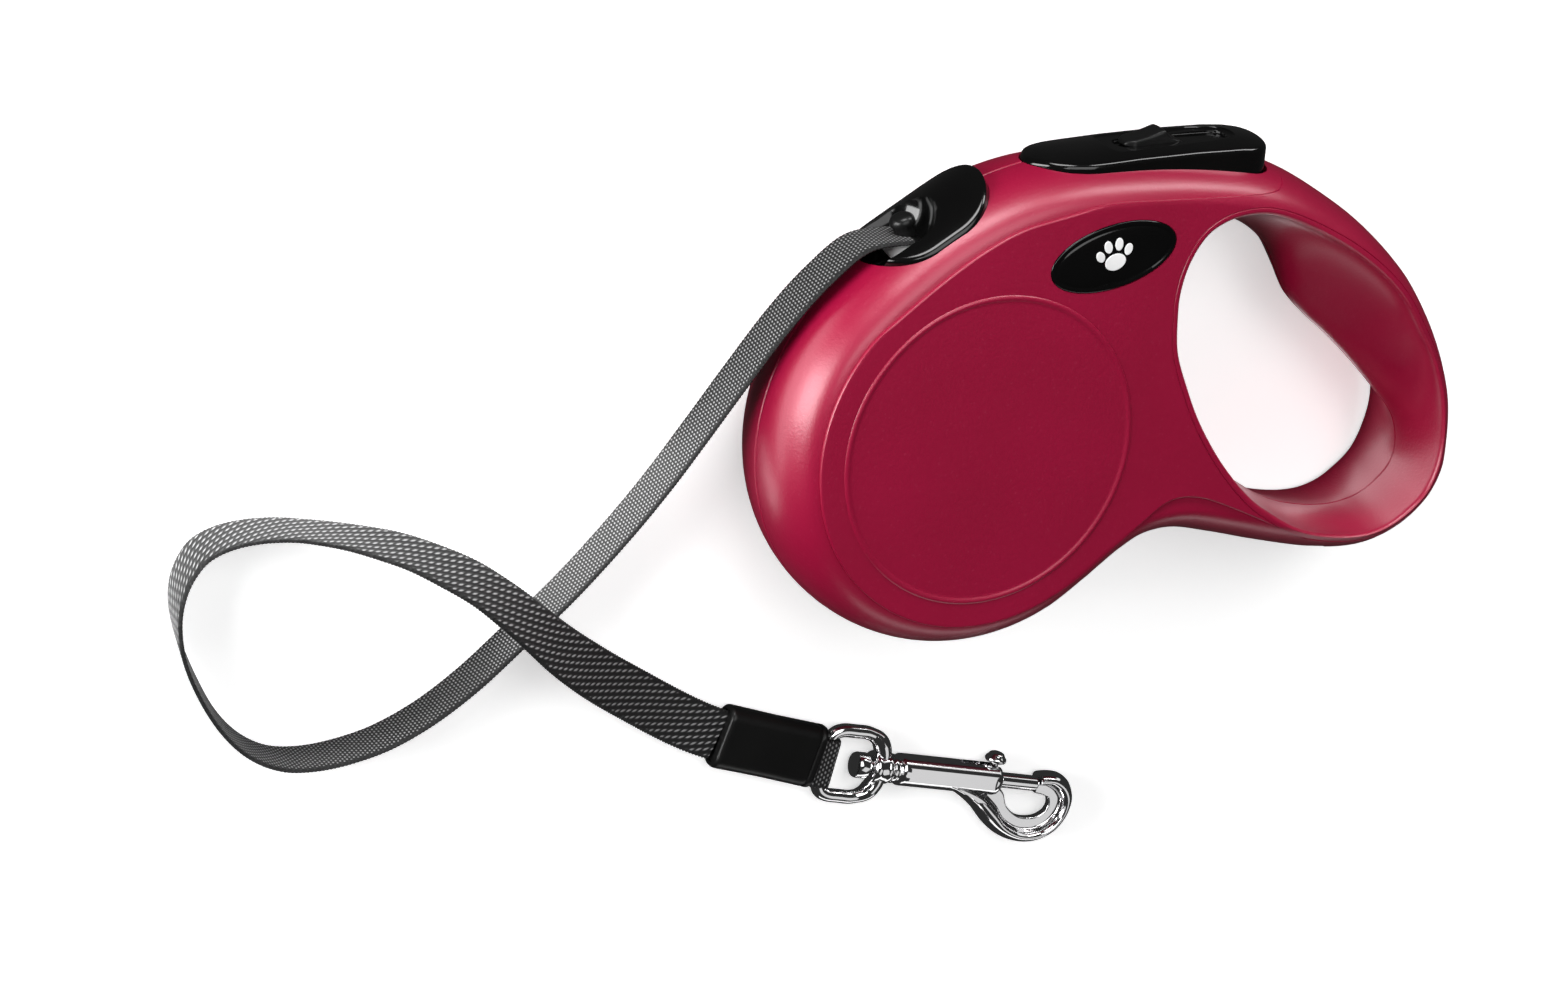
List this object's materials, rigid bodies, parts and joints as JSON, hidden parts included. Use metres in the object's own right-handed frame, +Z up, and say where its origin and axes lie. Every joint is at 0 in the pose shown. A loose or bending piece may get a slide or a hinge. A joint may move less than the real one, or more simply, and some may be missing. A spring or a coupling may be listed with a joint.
{
  "type": "retractable leash",
  "caption": "Hand-held retractable tape leash with a loop handle, thumb brake button with lock, sprung reel and a swivel bolt hook at the free end.",
  "frame": {"origin": "on the reel axis, at the face the leash lies on", "axes": "+Z up, along the reel axis and across the case; +X from the reel towards the handle; +Y towards the brake button"},
  "size_m": [0.3041, 0.1761, 0.0342],
  "materials": {
    "case_plastic": "satin with a fine sparkle texture",
    "gloss_black": "gloss",
    "dark_plastic": "satin",
    "sleeve_plastic": "satin",
    "nylon": "satin",
    "steel": "brushed",
    "chrome": "polished",
    "tape": "woven with light flecks"
  },
  "bodies": {
    "case": {"left_casing": "case_plastic", "right_casing": "case_plastic", "casing_screws": "steel", "badge": "gloss_black", "outlet_bezel": "gloss_black", "guide_knob": "dark_plastic", "roller_pin": "steel", "button_pivot": "steel", "button_spring": "steel", "axle": "steel", "tape_lead": "tape", "leash_tape": "tape", "tape_sleeve": "sleeve_plastic", "tape_eye_loop": "tape"},
    "reel": {"drum": "dark_plastic", "cup_cover": "steel", "ratchet_ring": "nylon", "mainspring": "steel", "tape_winding": "tape"},
    "roller": {"guide_roller": "nylon"},
    "brake": {"brake_button": "gloss_black", "brake_pawl": "steel"},
    "lock": {"lock_slider": "dark_plastic"},
    "eye": {"swivel_eye": "chrome"},
    "hook": {"hook_body": "chrome", "bolt_spring": "steel"},
    "bolt": {"hook_bolt": "chrome", "bolt_knob": "chrome"}
  },
  "joints": [
    {"name": "reel_spin", "type": "hinge", "parent": "case", "child": "reel", "pos_m": [0, 0, 0.017], "axis": [0, 0, 1], "continuous": true},
    {"name": "roller_spin", "type": "hinge", "parent": "case", "child": "roller", "pos_m": [-0.0173, 0.0414, 0.017], "axis": [0, 0, 1], "continuous": true},
    {"name": "brake_press", "type": "hinge", "parent": "case", "child": "brake", "pos_m": [0.016, 0.0555, 0.017], "axis": [0, 0, 1], "range_deg": [-5, 0], "stiffness_Nm_per_rad": 1.5},
    {"name": "lock_slide", "type": "slide", "parent": "brake", "child": "lock", "axis": [1, 0, 0], "range_m": [0, 0.01]},
    {"name": "eye_pivot", "type": "hinge", "parent": "case", "child": "eye", "pos_m": [-0.01734, -0.0834, 0.0039], "axis": [-0.2079, -0.9781, 0], "range_deg": [0, 80]},
    {"name": "hook_swivel", "type": "hinge", "parent": "eye", "child": "hook", "pos_m": [-0.00276, -0.0865, 0.0039], "axis": [0.9781, -0.2079, 0], "continuous": true},
    {"name": "bolt_slide", "type": "slide", "parent": "hook", "child": "bolt", "axis": [-0.9781, 0.2079, 0], "range_m": [0, 0.0072], "stiffness_N_per_m": 150, "springref_m": -0.004, "deforming": ["bolt_spring"]}
  ],
  "couplings": [
    {"joint": "roller_spin", "follows": "reel_spin", "ratio": 12.667}
  ]
}
